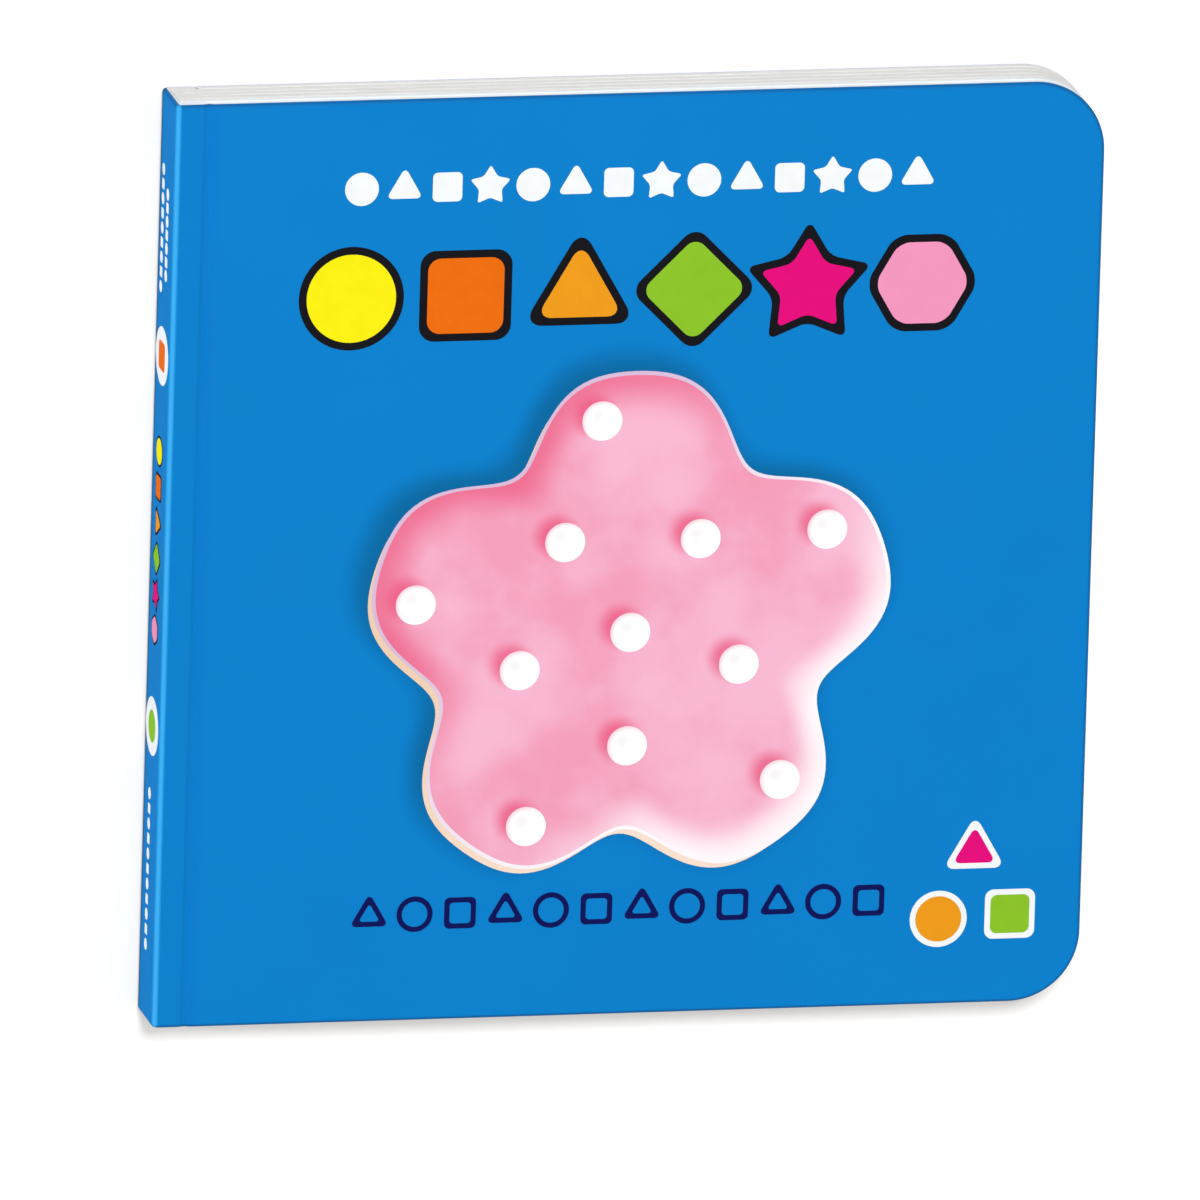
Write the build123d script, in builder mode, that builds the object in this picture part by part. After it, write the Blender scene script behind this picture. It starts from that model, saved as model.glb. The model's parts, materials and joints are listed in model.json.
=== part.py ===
from build123d import *

import os

# Square baby board book, lying closed on its back cover.
# A card is wrapped round a block of thick leaves. It has a cut score beside the spine,
# front and back, so that each cover panel swings on the laminate left at the score.
# X runs from the spine to the fore-edge, Y from tail to head, Z from back to front.
# The origin is the middle of the face that the book lies on. Lengths are in millimetres.

# Whole book
book_height = 150.0  # tail to head
book_width = 149.0  # outside of the spine to the fore-edge
corner_radius = 11.4  # the two die-cut corners at the fore-edge

# Cover
cover_board = 2.0  # panels and the strips beside the spine
spine_card = 0.8  # the card where it runs alone over the spine
spine_fold_radius = 1.1  # outside of the two folds along the spine
cover_edge_radius = 0.6  # outside edge all round, pressed over by the die
hinge_inset = 5.2  # outside of the spine to the middle of the hinge crease
crease_width = 1.6
crease_depth = 0.25
score_gap = 0.16  # the cut between a strip and its panel

# Leaves
leaf_count = 4
leaf_board = 2.0  # two pasted sheets
leaf_edge_radius = 0.35  # cut edges, pressed round by the die
fold_notch_depth = 0.5  # open depth between two folded sheets at the back

# Places that follow from the sizes
block_thickness = leaf_count * leaf_board
book_thickness = block_thickness + 2 * cover_board
spine_x = -book_width / 2
fore_edge_x = book_width / 2
hinge_x = spine_x + hinge_inset
block_back_x = spine_x + spine_card
fold_radius = leaf_board / 2
fold_centre_x = block_back_x + fold_radius
panel_start_x = hinge_x + score_gap / 2
strip_end_x = hinge_x - score_gap / 2

# A crease is a shallow arc of this radius, pressed in from the outer face
crease_radius = ((crease_width / 2) ** 2 + crease_depth**2) / (2 * crease_depth)
front_crease_z = book_thickness - crease_depth + crease_radius
back_crease_z = crease_depth - crease_radius

os.makedirs("parts", exist_ok=True)


# Front cover panel: square at the hinge, two round corners at the fore-edge
with BuildPart() as front_cover:
    with BuildSketch(Plane.XY.offset(book_thickness - cover_board)) as panel_outline:
        with Locations((panel_start_x, 0)):
            Rectangle(fore_edge_x - panel_start_x, book_height, align=(Align.MIN, Align.CENTER))
        fillet(panel_outline.vertices().group_by(Axis.X)[-1], corner_radius)
    extrude(amount=cover_board)
    outer_rim = front_cover.faces().sort_by(Axis.Z)[-1].edges() - front_cover.edges().group_by(Axis.X)[0]
    fillet(outer_rim, cover_edge_radius)
    inner_rim = front_cover.faces().sort_by(Axis.Z)[0].edges() - front_cover.edges().group_by(Axis.X)[0]
    fillet(inner_rim, leaf_edge_radius)
    # Its half of the pressed crease
    with BuildSketch(Plane.XZ) as crease:
        with Locations((hinge_x, front_crease_z)):
            Circle(crease_radius)
    extrude(amount=book_height / 2, both=True, mode=Mode.SUBTRACT)

front_cover.part.label = "front_cover"
export_step(front_cover.part, "parts/front_cover.step")


# Back cover panel: the front one mirrored about the middle of the book's thickness
with BuildPart() as back_cover:
    mirror(front_cover.part, about=Plane.XY.offset(book_thickness / 2))

back_cover.part.label = "back_cover"
export_step(back_cover.part, "parts/back_cover.step")


# Spine: one folded card, thin over the spine, with a board strip glued on each side of the block
with BuildPart() as spine:
    with BuildSketch(Plane.XZ) as wrap_section:
        with Locations((spine_x, 0)):
            Rectangle(strip_end_x - spine_x, book_thickness, align=(Align.MIN, Align.MIN))
        fillet(wrap_section.vertices().group_by(Axis.X)[0], spine_fold_radius)
    extrude(amount=book_height / 2, both=True)
    # The die rounds the outside at head and tail, as it does on the panels
    head_and_tail = spine.faces().filter_by(Axis.Y).edges() - spine.edges().group_by(Axis.X)[-1]
    fillet(head_and_tail, cover_edge_radius)
    with BuildSketch(Plane.XZ) as hollows:
        # The block's seat
        with Locations((block_back_x, cover_board)):
            Rectangle(book_width, block_thickness, align=(Align.MIN, Align.MIN))
        # The strips' halves of the two pressed creases
        with Locations((hinge_x, front_crease_z), (hinge_x, back_crease_z)):
            Circle(crease_radius)
    extrude(amount=book_height / 2, both=True, mode=Mode.SUBTRACT)

spine.part.label = "spine"
export_step(spine.part, "parts/spine.step")


# One leaf, cut open at head, tail and fore-edge
with BuildPart() as leaf:
    with BuildSketch() as leaf_outline:
        with Locations((fold_centre_x, 0)):
            Rectangle(fore_edge_x - fold_centre_x, book_height, align=(Align.MIN, Align.CENTER))
        fillet(leaf_outline.vertices().group_by(Axis.X)[-1], corner_radius)
    extrude(amount=leaf_board)
    cut_rims = leaf.faces().filter_by(Axis.Z).edges() - leaf.edges().group_by(Axis.X)[0]
    fillet(cut_rims, leaf_edge_radius)


# Page block: the leaves pasted into one, with the round backs of the folded sheets at the spine
with BuildPart() as page_block:
    with Locations(*[(0, 0, cover_board + k * leaf_board) for k in range(leaf_count)]):
        add(leaf.part)
    with BuildSketch(Plane.XZ) as folded_backs:
        with Locations(*[(fold_centre_x, cover_board + k * leaf_board) for k in range(leaf_count + 1)]):
            Circle(fold_radius)
        with Locations((block_back_x, cover_board)):
            Rectangle(leaf_board, block_thickness, align=(Align.MIN, Align.MIN), mode=Mode.INTERSECT)
        # Paste fills the bottom of each notch between two folds
        with Locations((block_back_x + fold_notch_depth, book_thickness / 2)):
            Rectangle(fold_radius, block_thickness - leaf_board, align=(Align.MIN, Align.CENTER))
    extrude(amount=book_height / 2, both=True)

page_block.part.label = "page_block"
export_step(page_block.part, "parts/page_block.step")
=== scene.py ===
# %% [markdown]
# # A baby's board book
# The real object is a block of thick leaves with one printed card wrapped round it. The card is blue,
# has a soft gloss, and is creased beside the spine, so that the two covers can swing. This lesson
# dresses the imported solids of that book: the boards, the printed card, the prints and the page edges.

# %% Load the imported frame
import json
import math
from collections import namedtuple

import bmesh
import bpy
from mathutils import Matrix, Vector


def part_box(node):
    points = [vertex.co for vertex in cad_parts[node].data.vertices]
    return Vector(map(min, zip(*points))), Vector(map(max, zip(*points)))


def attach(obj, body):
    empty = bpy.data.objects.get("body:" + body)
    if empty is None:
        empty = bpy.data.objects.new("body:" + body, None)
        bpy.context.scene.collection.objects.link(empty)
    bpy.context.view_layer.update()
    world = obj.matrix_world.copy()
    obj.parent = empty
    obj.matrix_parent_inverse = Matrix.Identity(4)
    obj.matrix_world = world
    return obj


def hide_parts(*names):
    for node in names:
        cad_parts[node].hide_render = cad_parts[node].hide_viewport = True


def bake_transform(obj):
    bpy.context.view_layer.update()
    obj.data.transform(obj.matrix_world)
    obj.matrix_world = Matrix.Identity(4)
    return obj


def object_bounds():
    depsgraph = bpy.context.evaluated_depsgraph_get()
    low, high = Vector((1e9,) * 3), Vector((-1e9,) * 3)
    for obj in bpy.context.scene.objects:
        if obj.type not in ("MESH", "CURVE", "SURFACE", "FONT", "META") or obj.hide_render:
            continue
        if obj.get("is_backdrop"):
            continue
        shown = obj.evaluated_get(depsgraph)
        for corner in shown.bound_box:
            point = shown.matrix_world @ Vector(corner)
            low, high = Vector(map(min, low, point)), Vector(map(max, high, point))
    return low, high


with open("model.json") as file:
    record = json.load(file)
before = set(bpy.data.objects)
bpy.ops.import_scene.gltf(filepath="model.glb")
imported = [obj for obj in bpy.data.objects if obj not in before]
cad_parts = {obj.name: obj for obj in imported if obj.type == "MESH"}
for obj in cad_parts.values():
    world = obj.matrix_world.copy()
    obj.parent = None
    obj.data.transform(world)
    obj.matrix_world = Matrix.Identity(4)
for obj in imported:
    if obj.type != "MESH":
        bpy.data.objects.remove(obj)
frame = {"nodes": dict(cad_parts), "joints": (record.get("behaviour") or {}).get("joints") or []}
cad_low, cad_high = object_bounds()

print("CAD box, mm:", [round(1000 * v, 2) for v in (*cad_low, *cad_high)])

# %% [markdown]
# ## Sizes
# Everything that the frame can tell is read from it. What a box can't tell, such as a radius, is written
# once here as a real size. MM turns millimetres into Blender's metres.

# %% Sizes of the book
MM = 0.001

spine_x = cad_low.x
fore_edge_x = cad_high.x
half_height = cad_high.y
book_thickness = cad_high.z
hinge_x = frame["joints"][0]["pos_m"][0]
block_low, block_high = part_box("page_block")
panel_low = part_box("front_cover")[0]
strip_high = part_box("spine")[1]

CORNER_RADIUS = 11.4 * MM
FOLD_RADIUS = 1.1 * MM
COVER_EDGE_RADIUS = 0.6 * MM
INNER_EDGE_RADIUS = 0.35 * MM
CREASE_HALF_WIDTH = 0.8 * MM
CREASE_DEPTH = 0.25 * MM
PRINT_THICKNESS = 0.15 * MM  # the laminated card over the boards
INK_THICKNESS = 0.03 * MM  # one layer of a print, standing on the card

print("hinge at x =", round(hinge_x / MM, 2), "mm")
print("page block, mm:", [round(v / MM, 2) for v in (*block_low, *block_high)])

# %% [markdown]
# ## Writing materials as sums
# A material is a small calculation over the surface. Wiring each Math node by hand hides the thought,
# so a Wire stands for one socket, and a sum of wires adds the nodes. A Recipe is one material: its
# `node` method adds any other node.
#
# Most marks on this book are a distance turned into a mask. `ramp` does that. Its two distances are
# kept as a pair: the mark has no effect at the first one and its full effect at the second.

# %% Wires and recipes
class Wire:
    """One output socket. Python's operators on it add Math nodes to its material."""

    def __init__(self, recipe, socket):
        self.recipe = recipe
        self.socket = socket

    def maths(self, operation, *others):
        sockets = dict(enumerate((self, *others)))
        return self.recipe.node("ShaderNodeMath", {"operation": operation}, sockets)

    def __add__(self, other):
        return self.maths("ADD", other)

    __radd__ = __add__

    def __sub__(self, other):
        return self.maths("SUBTRACT", other)

    def __rsub__(self, other):
        return (self * -1) + other

    def __mul__(self, other):
        return self.maths("MULTIPLY", other)

    __rmul__ = __mul__

    def __truediv__(self, other):
        return self.maths("DIVIDE", other)

    def most(self, other):
        return self.maths("MAXIMUM", other)

    def least(self, other):
        return self.maths("MINIMUM", other)

    def ramp(self, low, high):
        """0 at low and 1 at high, with a soft start and end. Low may be the larger."""
        ends = (low, high, 0.0, 1.0) if low < high else (high, low, 1.0, 0.0)
        sockets = dict(enumerate((self, *ends)))
        return self.recipe.node("ShaderNodeMapRange", {"interpolation_type": "SMOOTHSTEP"}, sockets)


class Recipe:
    """One material with a Principled BSDF, written as sums of wires.

    Its places are object coordinates, or the mesh's vector attribute where one is named.
    """

    def __init__(self, name, attribute=None):
        self.material = bpy.data.materials.new(name)
        self.material.use_nodes = True
        self.tree = self.material.node_tree
        self.shader = self.tree.nodes["Principled BSDF"]
        coordinates = self.tree.nodes.new("ShaderNodeTexCoord")
        self.place = Wire(self, coordinates.outputs["Object"])
        self.uv = Wire(self, coordinates.outputs["UV"])
        if attribute:
            settings = {"attribute_name": attribute}
            self.place = self.node("ShaderNodeAttribute", settings, {}, output="Vector")

    def node(self, kind, settings, sockets, output=0):
        """Adds a node, first with its settings, then with values or wires for its sockets."""
        made = self.tree.nodes.new(kind)
        for name, value in settings.items():
            setattr(made, name, value)
        for key, value in sockets.items():
            if isinstance(value, Wire):
                self.tree.links.new(value.socket, made.inputs[key])
            else:
                made.inputs[key].default_value = value
        return Wire(self, made.outputs[output])

    def axes(self, wire):
        """The three numbers of a place, in millimetres."""
        sockets = {0: wire, "Scale": 1 / MM}
        scaled = self.node("ShaderNodeVectorMath", {"operation": "SCALE"}, sockets)
        return [self.node("ShaderNodeSeparateXYZ", {}, {0: scaled}, output=axis) for axis in "XYZ"]

    def noise(self, per_mm, stretch=(1.0, 1.0, 1.0), detail=3.0):
        """Soft noise with per_mm blobs a millimetre, drawn out where stretch is small."""
        scale = tuple(s * per_mm / MM for s in stretch)
        mapped = self.node("ShaderNodeMapping", {}, {"Vector": self.place, "Scale": scale})
        sockets = {"Vector": mapped, "Scale": 1.0, "Detail": detail}
        return self.node("ShaderNodeTexNoise", {}, sockets)

    def mix(self, amount, first, second):
        """first where amount is 0 and second where it is 1, for colours."""
        # A Mix node hides sockets of the same names for other data, so colours go by number
        settings = {"data_type": "RGBA", "blend_type": "MIX"}
        return self.node("ShaderNodeMix", settings, {0: amount, 6: first, 7: second}, output=2)

    def feed(self, **sockets):
        """Links or sets sockets of the shader, named with _ for a space."""
        for name, value in sockets.items():
            socket = self.shader.inputs[name.replace("_", " ")]
            if isinstance(value, Wire):
                self.tree.links.new(value.socket, socket)
            else:
                socket.default_value = value

    def bump(self, height, depth):
        """Bump from a height of 0 to 1, depth metres deep."""
        sockets = {"Height": height, "Distance": depth, "Strength": 1.0}
        self.feed(Normal=self.node("ShaderNodeBump", {}, sockets))


def distance(x, y):
    """How far the place x, y is from the middle, as a wire."""
    return (x * x + y * y).maths("SQRT")


def srgb(red, green, blue):
    """A colour picked from a screen, 0 to 255, as the linear colour that a node wants."""
    parts = [v / 255 for v in (red, green, blue)]
    return tuple(v / 12.92 if v <= 0.04045 else ((v + 0.055) / 1.055) ** 2.4 for v in parts) + (1.0,)


print("a screen's grey of 188 is", round(srgb(188, 188, 188)[0], 3), "of the light of its white")

# %% [markdown]
# ## The colours of the book
# The cover is one strong blue. The prints use a toy box of clear colours with black outlines, and the
# icing of the biscuit goes from a deep pink to a milky one.

# %% Colours
CARD_BLUE = srgb(1, 127, 203)
# Painted highlight along the front fold of the spine
CARD_BLUE_HIGHLIGHT = srgb(70, 184, 246)
# Deeper blue for the random mottle, and for the painted shade on the pressed rim
CARD_BLUE_MOTTLE_AND_SHADE = srgb(4, 88, 150)
# Painted shade along the back fold of the spine
CARD_BLUE_FOLD_SHADE = srgb(14, 54, 72)
# Painted shade in the creases
CARD_BLUE_CREASE_SHADE = srgb(2, 96, 194)
PRINTED_SHADOW = srgb(0, 92, 138)
INK_WHITE = srgb(247, 251, 253)
INK_BLACK = srgb(6, 6, 14)
INK_NAVY = srgb(4, 12, 84)
INK_YELLOW = srgb(252, 240, 12)
INK_ORANGE = srgb(238, 110, 6)
INK_AMBER = srgb(240, 156, 24)
INK_GREEN = srgb(140, 196, 40)
INK_MAGENTA = srgb(230, 4, 124)
INK_ROSE = srgb(245, 152, 192)
PAPER_WHITE = srgb(240, 240, 236)
PAPER_CREAM = srgb(232, 231, 224)
EDGE_GREY = srgb(216, 215, 213)
EDGE_PALE = srgb(234, 234, 232)
LIT_CORE_WHITE = srgb(243, 249, 252)
LIT_CORE_GREY = srgb(222, 231, 236)

print("the card's blue, linear:", [round(v, 3) for v in CARD_BLUE[:3]])

# %% [markdown]
# ## The printed, laminated card
# The card is ink under a clear film: an even colour, a soft gloss that is far from a mirror, and a very
# fine waviness left by the lamination. Every ink is under the same film, so one function finishes all
# of them, and only the colour changes. The pattern follows the place on the book, so it runs over the
# folds. On the spine, where the book is held and rubs on others in a shelf, the film has gone matt.

# %% The laminate's finish
FILM_ROUGHNESS = 0.5
FILM_SCUFFS = 0.16  # how far the scuffs move the roughness, up and down together
FILM_SPECULAR = 0.08
FILM_WAVES = 0.004 * MM
SPINE_MATT = 0.4  # added to the roughness on the spine
MATT_ACROSS = (0.6, 0.1)  # mm from the spine's outer face
INK_UNEVEN = 0.9  # an ink's light where the press laid it thickest


def under_film(recipe, colour):
    """Gives a recipe the film's gloss, scuffs and fine waves over this colour."""
    across = recipe.axes(recipe.place)[0] - spine_x / MM
    scuffs = recipe.noise(per_mm=0.09, detail=5.0)
    roughness = FILM_ROUGHNESS + FILM_SCUFFS * (scuffs - 0.5) + SPINE_MATT * across.ramp(*MATT_ACROSS)
    recipe.feed(Base_Color=colour, Roughness=roughness, Specular_IOR_Level=FILM_SPECULAR)
    recipe.bump(recipe.noise(per_mm=0.8, detail=2.0), FILM_WAVES)
    return recipe.material


def ink(name, colour):
    """A flat ink: the press lays it a little unevenly."""
    recipe = Recipe(name)
    darker = tuple(INK_UNEVEN * v for v in colour[:3]) + (1.0,)
    return under_film(recipe, recipe.mix(recipe.noise(per_mm=0.35), colour, darker))


print("roughness of", FILM_ROUGHNESS, "on the covers and", FILM_ROUGHNESS + SPINE_MATT, "on the spine")

# %% [markdown]
# ## Where the motif stands
# The big print is a biscuit with five round petals. A flower is a circle whose radius swings five times
# a turn, which is a formula both for the mesh and for the shading, so both use the numbers below. The
# second wave makes the petals fuller than the gaps between them. All sizes here are in millimetres.

# %% The biscuit's outline and pearls
PETALS = 5
BISCUIT_RADIUS = 38.5
PETAL_SWING = 0.135
PETAL_FULLNESS = 0.03
BISCUIT_CENTRE = (0.5, -12.6)
RIM_WIDTH = 0.65
PEARL_RADIUS = 3.2


def petal_reach(angle):
    """The outline's distance from the biscuit's centre, in mm, at an angle from the topmost petal."""
    swing = PETAL_SWING * math.cos(PETALS * angle)
    fullness = PETAL_FULLNESS * math.cos(2 * PETALS * angle)
    return BISCUIT_RADIUS * (1 + swing - fullness)


def petal_reach_wire(x, y):
    """The same distance for the shading, towards the place x, y in mm from the biscuit's centre."""
    angle = x.maths("ARCTAN2", y)
    swing = PETAL_SWING * (angle * PETALS).maths("COSINE")
    fullness = PETAL_FULLNESS * (angle * (2 * PETALS)).maths("COSINE")
    return (swing - fullness + 1) * BISCUIT_RADIUS


# One pearl in the middle, a ring of pearls at the gaps and a ring near the ends of the petals: for each
# its radius in mm, how many pearls it has and the turn of the first in degrees
PEARL_RINGS = ((0.0, 1, 0.0), (18.5, PETALS, 36.0), (35.0, PETALS, 9.0))


def pearl_places():
    """Centres of the pearls in mm from the biscuit's centre."""
    places = []
    for reach, count, first in PEARL_RINGS:
        for k in range(count):
            turn = math.radians(90 + first + 360 * k / count)
            places.append((reach * math.cos(turn), reach * math.sin(turn)))
    return places


print(len(pearl_places()), "pearls, petals reach", round(petal_reach(0), 1), "mm")

# %% [markdown]
# ## The blue of the cover
# The blue isn't quite even. A painted highlight makes it paler along the front fold of the spine, and
# painted shade makes it dark along the back fold and deeper in the creases and on the pressed rim. There
# is also a soft printed shadow on the upper left of the biscuit. Each is a distance, turned into a mask,
# and each mask mixes another blue into the colour.
#
# The card bends when a cover opens, and object coordinates would slide over it. So each mesh in this
# blue notes where its vertices are at rest, in an attribute, and the material reads that.

# %% The card's blue
REST_PLACE = "place_at_rest"
FOLD_LINE_AT = 0.4  # middle of the paler line, in mm from the spine's outer face
SHADOW_THROW = (-1.6, 1.2)  # mm from the biscuit to its printed shadow

# Each mark's reach: no effect at the first distance in mm, the full effect at the second
FRONT_FOLD_ACROSS = (0.62, 0.06)  # from the middle of the paler line
FRONT_FOLD_BELOW = (1.2, 0.3)  # under the front face
BACK_FOLD_ACROSS = (1.1, 0.3)  # from the spine's outer face
BACK_FOLD_ABOVE = (2.1, 1.1)  # over the back face
CREASE_BEGINS = (-0.2, 0.5)  # from the hinge's axis towards the fore-edge
CREASE_ENDS = (2.4, 0.4)
RIM_ACROSS = (0.75, 0.15)  # from the outline of the cover
SHADOW_OUTSIDE = (4.2, -1.5)  # from the outline of the shadow
SHADOW_BELOW = (1.0, 0.5)  # under the front face

# How much of its own blue each mark mixes in
MOTTLE_STRENGTH = 0.12
SHADOW_STRENGTH = 0.72
CREASE_SHADE_STRENGTH = 0.16
RIM_SHADE_STRENGTH = 0.7
BACK_FOLD_SHADE_STRENGTH = 0.85
FRONT_FOLD_HIGHLIGHT_STRENGTH = 0.68


def note_rest_places(piece):
    """Writes each vertex's place into the attribute that the card's blue reads."""
    places = piece.data.attributes.new(REST_PLACE, "FLOAT_VECTOR", "POINT")
    for vert in piece.data.vertices:
        places.data[vert.index].vector = vert.co


def card_blue():
    """The cover's blue: mottle, printed shadow, and painted light and shade on folds, creases and rims.
    """
    recipe = Recipe("card_blue", attribute=REST_PLACE)
    x, y, z = recipe.axes(recipe.place)
    across = x - spine_x / MM
    below_front = book_thickness / MM - z

    # A painted highlight along the front fold of the spine, and painted shade along the back fold
    from_fold_line = (across - FOLD_LINE_AT).maths("ABSOLUTE")
    front_fold_highlight = from_fold_line.ramp(*FRONT_FOLD_ACROSS) * below_front.ramp(*FRONT_FOLD_BELOW)
    back_fold_shade = across.ramp(*BACK_FOLD_ACROSS) * z.ramp(*BACK_FOLD_ABOVE)

    # Painted shade in the creases: deeper blue from the middle of the two creases on, fading towards the
    # panel
    from_crease = x - hinge_x / MM
    crease = from_crease.ramp(*CREASE_BEGINS) * from_crease.ramp(*CREASE_ENDS)

    # Painted shade on the pressed rim: deeper blue by distance from the outline of the cover
    corner_x = (x - (fore_edge_x - CORNER_RADIUS) / MM).most(0.0)
    corner_y = (y.maths("ABSOLUTE") - (half_height - CORNER_RADIUS) / MM).most(0.0)
    from_head = half_height / MM - y.maths("ABSOLUTE")
    from_rim = from_head.least(CORNER_RADIUS / MM - distance(corner_x, corner_y))
    rim = from_rim.ramp(*RIM_ACROSS)

    # The biscuit's printed shadow, thrown to the upper left, on the front only
    side_x = x - (BISCUIT_CENTRE[0] + SHADOW_THROW[0])
    side_y = y - (BISCUIT_CENTRE[1] + SHADOW_THROW[1])
    outside = distance(side_x, side_y) - petal_reach_wire(side_x, side_y)
    shadow = outside.ramp(*SHADOW_OUTSIDE) * below_front.ramp(*SHADOW_BELOW)

    mottle = recipe.noise(per_mm=0.05, detail=4.0)
    colour = recipe.mix(MOTTLE_STRENGTH * mottle, CARD_BLUE, CARD_BLUE_MOTTLE_AND_SHADE)
    colour = recipe.mix(SHADOW_STRENGTH * shadow, colour, PRINTED_SHADOW)
    colour = recipe.mix(CREASE_SHADE_STRENGTH * crease, colour, CARD_BLUE_CREASE_SHADE)
    colour = recipe.mix(RIM_SHADE_STRENGTH * rim, colour, CARD_BLUE_MOTTLE_AND_SHADE)
    colour = recipe.mix(BACK_FOLD_SHADE_STRENGTH * back_fold_shade, colour, CARD_BLUE_FOLD_SHADE)
    colour = recipe.mix(FRONT_FOLD_HIGHLIGHT_STRENGTH * front_fold_highlight, colour, CARD_BLUE_HIGHLIGHT)
    return under_film(recipe, colour)


CARD = card_blue()
print(CARD.name, "has", len(CARD.node_tree.nodes), "nodes")

# %% [markdown]
# ## Paper and board
# Cut edges of white board are matte and slightly grey, with faint lines where sheets were pasted
# together, so the noise is drawn out along the edge and squeezed through the thickness. Painted light
# makes the edges whiter towards the front face and as grey as the leaves towards the back.
# The pages' faces are coated paper: whiter and smoother.

# %% Paper and board materials
BOARD_LAYERS = (0.12, 0.12, 5.0)  # how the noise is drawn out along x and y and squeezed along z
GRAIN_CONTRAST = (0.3, 0.7)
EDGE_SPECULAR = 0.25
BOARD_ROUGHNESS = 0.82
FIBRE_ROUGHNESS = 0.1  # added where the fibres stand up
BOARD_GRAIN_DEPTH = 0.03 * MM
PAGE_SPECULAR = 0.35
PAGE_ROUGHNESS = 0.5
CLOUD_ROUGHNESS = 0.15  # added where the coating is creamy
CLOUD_STRENGTH = 0.5
PAGE_GRAIN_DEPTH = 0.006 * MM


def grain_of(layers, fibres, layer_share):
    """Pasted layers and paper fibres in one pattern."""
    return layers * layer_share + fibres * (1 - layer_share)


def board_core():
    """Cut white board, with painted light: whiter towards the front, greyer towards the back."""
    recipe = Recipe("board_core")
    z = recipe.axes(recipe.place)[2]
    layers = recipe.noise(per_mm=1.0, stretch=BOARD_LAYERS, detail=4.0)
    fibres = recipe.noise(per_mm=2.2, detail=5.0)
    grain = grain_of(layers, fibres, layer_share=0.7).ramp(*GRAIN_CONTRAST)
    front = recipe.mix(grain, LIT_CORE_GREY, LIT_CORE_WHITE)
    back = recipe.mix(grain, EDGE_GREY, EDGE_PALE)
    # Painted light: towards the front face the edges are whiter, towards the back greyer
    colour = recipe.mix(z.ramp(block_low.z / MM, block_high.z / MM), back, front)
    roughness = BOARD_ROUGHNESS + FIBRE_ROUGHNESS * fibres
    recipe.feed(Base_Color=colour, Roughness=roughness, Specular_IOR_Level=EDGE_SPECULAR)
    recipe.bump(grain_of(layers, fibres, layer_share=0.6), BOARD_GRAIN_DEPTH)
    return recipe.material


def coated_page():
    """A page's face, with a faint cloudiness in its coating."""
    recipe = Recipe("coated_page")
    cloud = recipe.noise(per_mm=0.03, detail=4.0)
    colour = recipe.mix(CLOUD_STRENGTH * cloud, PAPER_WHITE, PAPER_CREAM)
    roughness = PAGE_ROUGHNESS + CLOUD_ROUGHNESS * cloud
    recipe.feed(Base_Color=colour, Roughness=roughness, Specular_IOR_Level=PAGE_SPECULAR)
    recipe.bump(recipe.noise(per_mm=1.2, detail=4.0), PAGE_GRAIN_DEPTH)
    return recipe.material


CORE = board_core()
PAGE = coated_page()
print("paper materials:", CORE.name, "and", PAGE.name)

# %% [markdown]
# ## Page edges
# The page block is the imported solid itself: its grooves, round corners and folded backs are already the
# real ones. Its front and back faces are coated paper and its edges are cut leaves. One material does
# both, and tells them apart by how far a point is from the nearer of the two faces.

# %% The page block's material
LEAF_LAYERS = (0.1, 0.1, 4.0)
FRONT_LIT_DEPTH = 2.0  # mm below the front face in which the edge goes from grey to white
FACE_WITHIN = (0.12, 0.02)  # mm from the front or back face
LEAF_ROUGHNESS = 0.8
FACE_SMOOTHER = 0.25  # how much less rough the two faces are
LEAF_GRAIN_DEPTH = 0.02 * MM


def page_stack():
    """Cut edges of the leaves, with coated paper on the block's two faces."""
    recipe = Recipe("page_stack")
    z = recipe.axes(recipe.place)[2]
    layers = recipe.noise(per_mm=1.0, stretch=LEAF_LAYERS, detail=4.0)
    fibres = recipe.noise(per_mm=2.0, detail=5.0)
    grain = grain_of(layers, fibres, layer_share=0.65)
    edge = recipe.mix(grain.ramp(*GRAIN_CONTRAST), EDGE_GREY, EDGE_PALE)
    # Painted light: the first leaf's edge is whiter, as the front board's is
    front_lit = z.ramp(block_high.z / MM - FRONT_LIT_DEPTH, block_high.z / MM)
    edge = recipe.mix(front_lit, edge, LIT_CORE_WHITE)
    from_faces = (z - block_low.z / MM).least(block_high.z / MM - z)
    face = from_faces.ramp(*FACE_WITHIN)
    colour = recipe.mix(face, edge, PAPER_WHITE)
    roughness = LEAF_ROUGHNESS - FACE_SMOOTHER * face
    recipe.feed(Base_Color=colour, Roughness=roughness, Specular_IOR_Level=EDGE_SPECULAR)
    recipe.bump(grain, LEAF_GRAIN_DEPTH)
    return recipe.material


page_block = frame["nodes"]["page_block"]
page_block.data.materials.clear()
page_block.data.materials.append(page_stack())
print("the page block wears", page_block.data.materials[0].name)

# %% [markdown]
# ## Meshes from plates
# A board is a plate with two round corners. In Blender that is a square face whose two corners are
# bevelled as vertices, extruded to its thickness, with its rims bevelled as edges. The same start
# serves the boards and the card, so it is one helper. `as_piece` turns a finished bmesh into an object.

# %% Plate helpers
TOUCH = 1e-6  # metres, nearer than this counts as the same place
ON_THE_CUT = 0.1 * TOUCH  # nearer than this to a cutting plane counts as on it
CORNER_STEPS = 24
UPRIGHT = 0.01  # a face stands upright when its normal has less of z than this
LOOKS = 0.5  # a face looks along an axis when its normal has more of it than this


def round_off(bm, geometry, radius, steps, affect="EDGES"):
    """Bevels edges, or the corners of a flat face, into rounds of so many steps."""
    bmesh.ops.bevel(
        bm, geom=geometry, offset=radius, segments=steps, affect=affect,
        offset_type="OFFSET", profile=0.5, material=-1, clamp_overlap=False,
    )


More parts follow.
